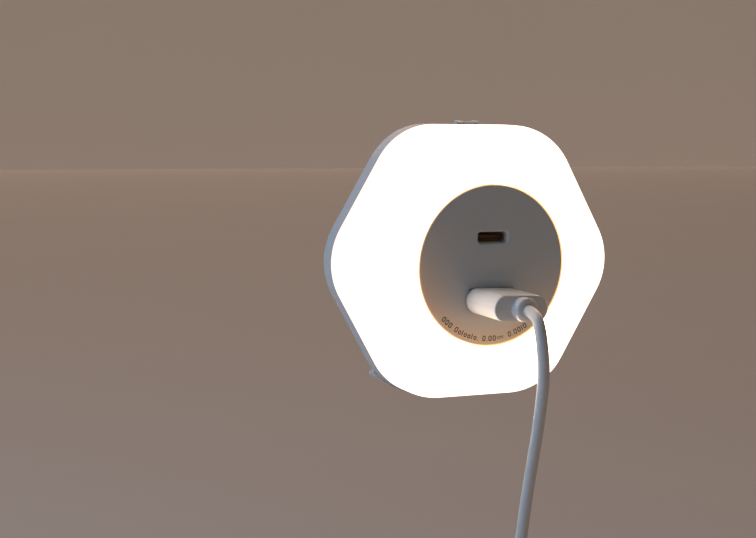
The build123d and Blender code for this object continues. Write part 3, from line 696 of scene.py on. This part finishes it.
def make_strap(material):
    """Strap round the coil's turns: a rounded band with a loose tail at the back."""
    middle = (tie_low + tie_high) / 2
    size = tie_high - tie_low
    corner = 2.9 * MM
    clear_selection()
    sides = 40
    half_side = pi / sides
    bpy.ops.mesh.primitive_circle_add(
        vertices=sides, radius=corner, fill_type="NOTHING", rotation=(0, 0, half_side)
    )
    band = bpy.context.active_object
    bpy.ops.object.transform_apply(rotation=True)
    for vertex in band.data.vertices:
        vertex.co.x += (size.z / 2 - corner) * (1 if vertex.co.x > 0 else -1)
        vertex.co.y += (size.y / 2 - corner) * (1 if vertex.co.y > 0 else -1)
        vertex.co.z = -size.x / 2
    bpy.ops.object.mode_set(mode="EDIT")
    bpy.ops.mesh.select_all(action="SELECT")
    bpy.ops.mesh.extrude_region_move(TRANSFORM_OT_translate={"value": (0, 0, size.x)})
    bpy.ops.mesh.select_all(action="SELECT")
    bpy.ops.mesh.normals_make_consistent(inside=False)
    bpy.ops.object.mode_set(mode="OBJECT")
    wall = band.modifiers.new("wall", "SOLIDIFY")
    wall.thickness = 0.9 * MM
    wall.offset = -1
    choose(band)
    bpy.ops.object.modifier_apply(modifier=wall.name)
    band.rotation_euler = (0, pi / 2, 0)
    band.location = middle
    bpy.ops.object.transform_apply(location=True, rotation=True, scale=True)
    rounded(band, 0.2 * MM, 2, 50)
    # distance, narrowing and height of each ring
    profile = [(0, 0.5, 3.6), (0.12, 0.1, 4.0), (0.7, 0.1, 4.0), (0.85, 0.5, 3.6)]
    rings = [(z * MM, size.x - less * MM, height * MM) for z, less, height in profile]
    start = Vector((middle.x, tie_high.y + 0.1 * MM, middle.z + 2.5 * MM))
    tail = ringed(start, AWAY_FROM_ROOM, rings, 24)
    choose(tail)
    bpy.ops.object.transform_apply(location=True, rotation=True, scale=True)
    strap = settle(joined([band, tail]), "coil_strap", material, "charging_cable", 40)
    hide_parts("cable_tie")
    return strap


# ---------------------------------------------------------------- contacts and print
def make_contacts(material):
    """Contact strips on both faces of the USB-C port's tongue."""
    per_side = 12
    pitch = 0.5 * MM
    size = Vector((0.26, 3.6, 0.06)) * MM
    front = c_tongue_front + 0.5 * MM
    strips = []
    for side in (-1, 1):
        for i in range(per_side):
            x = (i - (per_side - 1) / 2) * pitch
            z = usb_c_z + side * 0.36 * MM
            strips.append(block(Vector((x, front + size.y / 2, z)), size, 0.02 * MM))
    contacts = settle(joined(strips), "c_port_contacts", material, "light", 30)


mark_line = 0.24 * MM
mark_ring = 20.15 * MM  # radius of the line that the marks stand on
first_mark_angle = radians(-136.5)
mark_kinds = {
    "T": (0.92 * MM, 1.45 * MM, 1.30 * MM),  # width, height and the step to the next mark
    "S": (0.86 * MM, 1.05 * MM, 1.22 * MM),
    "t": (mark_line, 1.45 * MM, 0.70 * MM),
    ".": (mark_line, mark_line, 0.60 * MM),
    "=": (1.9 * MM, mark_line * 0.8, 2.6 * MM),
    " ": (0, 0, 0.95 * MM),
}


def printed_mark(along, low, width, height):
    """One upright mark on the ring: an outline where it is wide and high, otherwise a bar."""
    clear_selection()
    bpy.ops.mesh.primitive_plane_add(size=1)
    bar = bpy.context.active_object
    bar.scale = (width, height, 1)
    bpy.ops.object.transform_apply(scale=True)
    bpy.ops.object.mode_set(mode="EDIT")
    bpy.ops.mesh.select_all(action="SELECT")
    bpy.ops.mesh.bevel(offset=min(width, height) * 0.42, segments=4, affect="VERTICES")
    if min(width, height) > 2 * mark_line:
        bpy.ops.mesh.select_all(action="SELECT")
        bpy.ops.mesh.inset(thickness=mark_line)
        bpy.ops.mesh.delete(type="FACE")
    bpy.ops.mesh.select_all(action="SELECT")
    bpy.ops.mesh.extrude_region_move(TRANSFORM_OT_translate={"value": (0, 0, 0.02 * MM)})
    bpy.ops.object.mode_set(mode="OBJECT")
    lean = first_mark_angle + along / mark_ring
    radius = mark_ring - low - height / 2
    place = Vector((radius * cos(lean), face_y + 0.005 * MM, radius * sin(lean)))
    upright = Matrix.Rotation(-lean - pi / 2, 4, "Y") @ Matrix.Rotation(pi / 2, 4, "X")
    bar.matrix_world = Matrix.Translation(place) @ upright
    bpy.ops.object.transform_apply(location=True, rotation=True, scale=True)
    return bar


def make_printed_arc(material):
    """Generic printed marks along the plate's lower edge, where the light's rating is: no letters."""
    marks = []
    along = 0.0
    for kind in "TTT TStSStS. T.TT= T.TTtT":
        width, height, step = mark_kinds[kind]
        centre = along + width / 2
        if kind == "=":
            marks.append(printed_mark(centre, 0.75 * MM, width, height))
            for i in (-1, 0, 1):
                marks.append(printed_mark(centre + i * 0.68 * MM, 0.3 * MM, 0.46 * MM, height))
        elif height:
            marks.append(printed_mark(centre, 0, width, height))
        along += step
    arc = settle(joined(marks), "printed_arc", material, "light", 30)


# ---------------------------------------------------------------- finishes of the CAD nodes
def dress(finishes):
    """Give each CAD node its finish."""
    for material, names in finishes:
        for name in names:
            mesh = nodes[name].data
            for slot in range(max(1, len(mesh.materials))):
                if slot < len(mesh.materials):
                    mesh.materials[slot] = material
                else:
                    mesh.materials.append(material)


steel = pressed_steel("steel_shell", (0.66, 0.66, 0.67))
# The port shells are the same steel, made darker and browner as painted shade with warm light in their
# recesses, and given a faint orange painted glow for lamp light.
port_steel_painted_light = pressed_steel("port_shell", (0.50, 0.44, 0.38), painted_lamp_glow=(0.010, 0.0045, 0.002))
gold = pressed_steel("gold_contact", (0.83, 0.62, 0.28), 0.25)
jacket = cable_jacket()
overmould = plug_overmould()
board_green = circuit_board("board_green", (0.035, 0.20, 0.085), (0.10, 0.33, 0.14), 0.0024)
weave = strap_weave()
screw_zinc = pressed_steel("screw_zinc", (0.56, 0.57, 0.58), 0.35, (1, 1, 1), 900)
capacitor_sleeve = sleeve("capacitor_sleeve", (0.03, 0.04, 0.09), (0.6, 0.62, 0.66))

dress([
    (opal_lit(), ["diffuser"]),
    (port_plate_white(), ["port_plate"]),
    (moulded_plastic("casing_white", (0.78, 0.78, 0.77)), ["rear_housing", "supply_case", "plug_base"]),
    (moulded_plastic("knob_white", (0.80, 0.80, 0.80), 0.3, coat=0.3), ["switch_knob"]),
    (moulded_plastic("tray_white", (0.84, 0.84, 0.83), 0.5), ["light_tray"]),
    (moulded_plastic("carrier_white", (0.82, 0.82, 0.81), 0.4), ["usb_plug_insert"]),
    (
        moulded_plastic("black_moulding", (0.03, 0.03, 0.032), 0.5),
        ["port_header", "switch_slider", "bridge_rectifier", "control_chips"],
    ),
    (moulded_plastic("tongue_brown", (0.10, 0.058, 0.038), 0.45), ["usb_c_tongue", "usb_a_tongue"]),
    (pressed_steel("pin_plating", (0.78, 0.76, 0.71), 0.2, (14, 1, 14)), ["live_pin", "neutral_pin"]),
    (port_steel_painted_light, ["usb_c_shell", "usb_a_shell"]),
    (steel, ["usb_plug_shell", "end_plug_shell", "switch_body"]),
    (screw_zinc, ["case_screws", "board_screws", "port_screws"]),
    (gold, ["header_pins"]),
    (circuit_board("board_white", (0.80, 0.80, 0.78), (0.70, 0.70, 0.68), 0.0042), ["led_board"]),
    (lamp_lens(), ["leds"]),
    (board_green, ["main_board", "port_board"]),
    (sintered("ferrite", (0.06, 0.06, 0.065)), ["transformer_core"]),
    (taped_winding(), ["transformer_winding"]),
    (capacitor_sleeve, ["mains_capacitors", "output_capacitors"]),
    (wound_wire("copper_winding", (0.72, 0.34, 0.15), 0.0006), ["mains_choke"]),
    (sintered("fuse_ceramic", (0.78, 0.74, 0.66), 0.4, 2200), ["fuse"]),
    (moulded_plastic("blue_epoxy", (0.04, 0.15, 0.42), 0.2, coat=0.8), ["safety_capacitor"]),
    (cable_jacket("brown_wire", (0.20, 0.09, 0.04)), ["live_wire"]),
    (cable_jacket("blue_wire", (0.05, 0.14, 0.46)), ["neutral_wire"]),
    (cable_jacket("white_wire", (0.82, 0.82, 0.81)), ["led_wires"]),
    (jacket, ["cable_run", "cable_coil", "cable_end"]),
    (overmould, ["usb_plug_grip", "usb_plug_collar", "end_plug_grip", "end_plug_collar"]),
    (weave, ["cable_tie"]),
])

set_camera()
set_studio()
set_floor()
set_far_wall()
plug_grip, plug_collar = make_plug_grip(overmould)
end_grip, end_relief = make_end_plug(overmould)
coil_strap = make_strap(weave)
make_cable(jacket)
make_contacts(gold)
make_printed_arc(printed_ink())

bpy.context.view_layer.update()
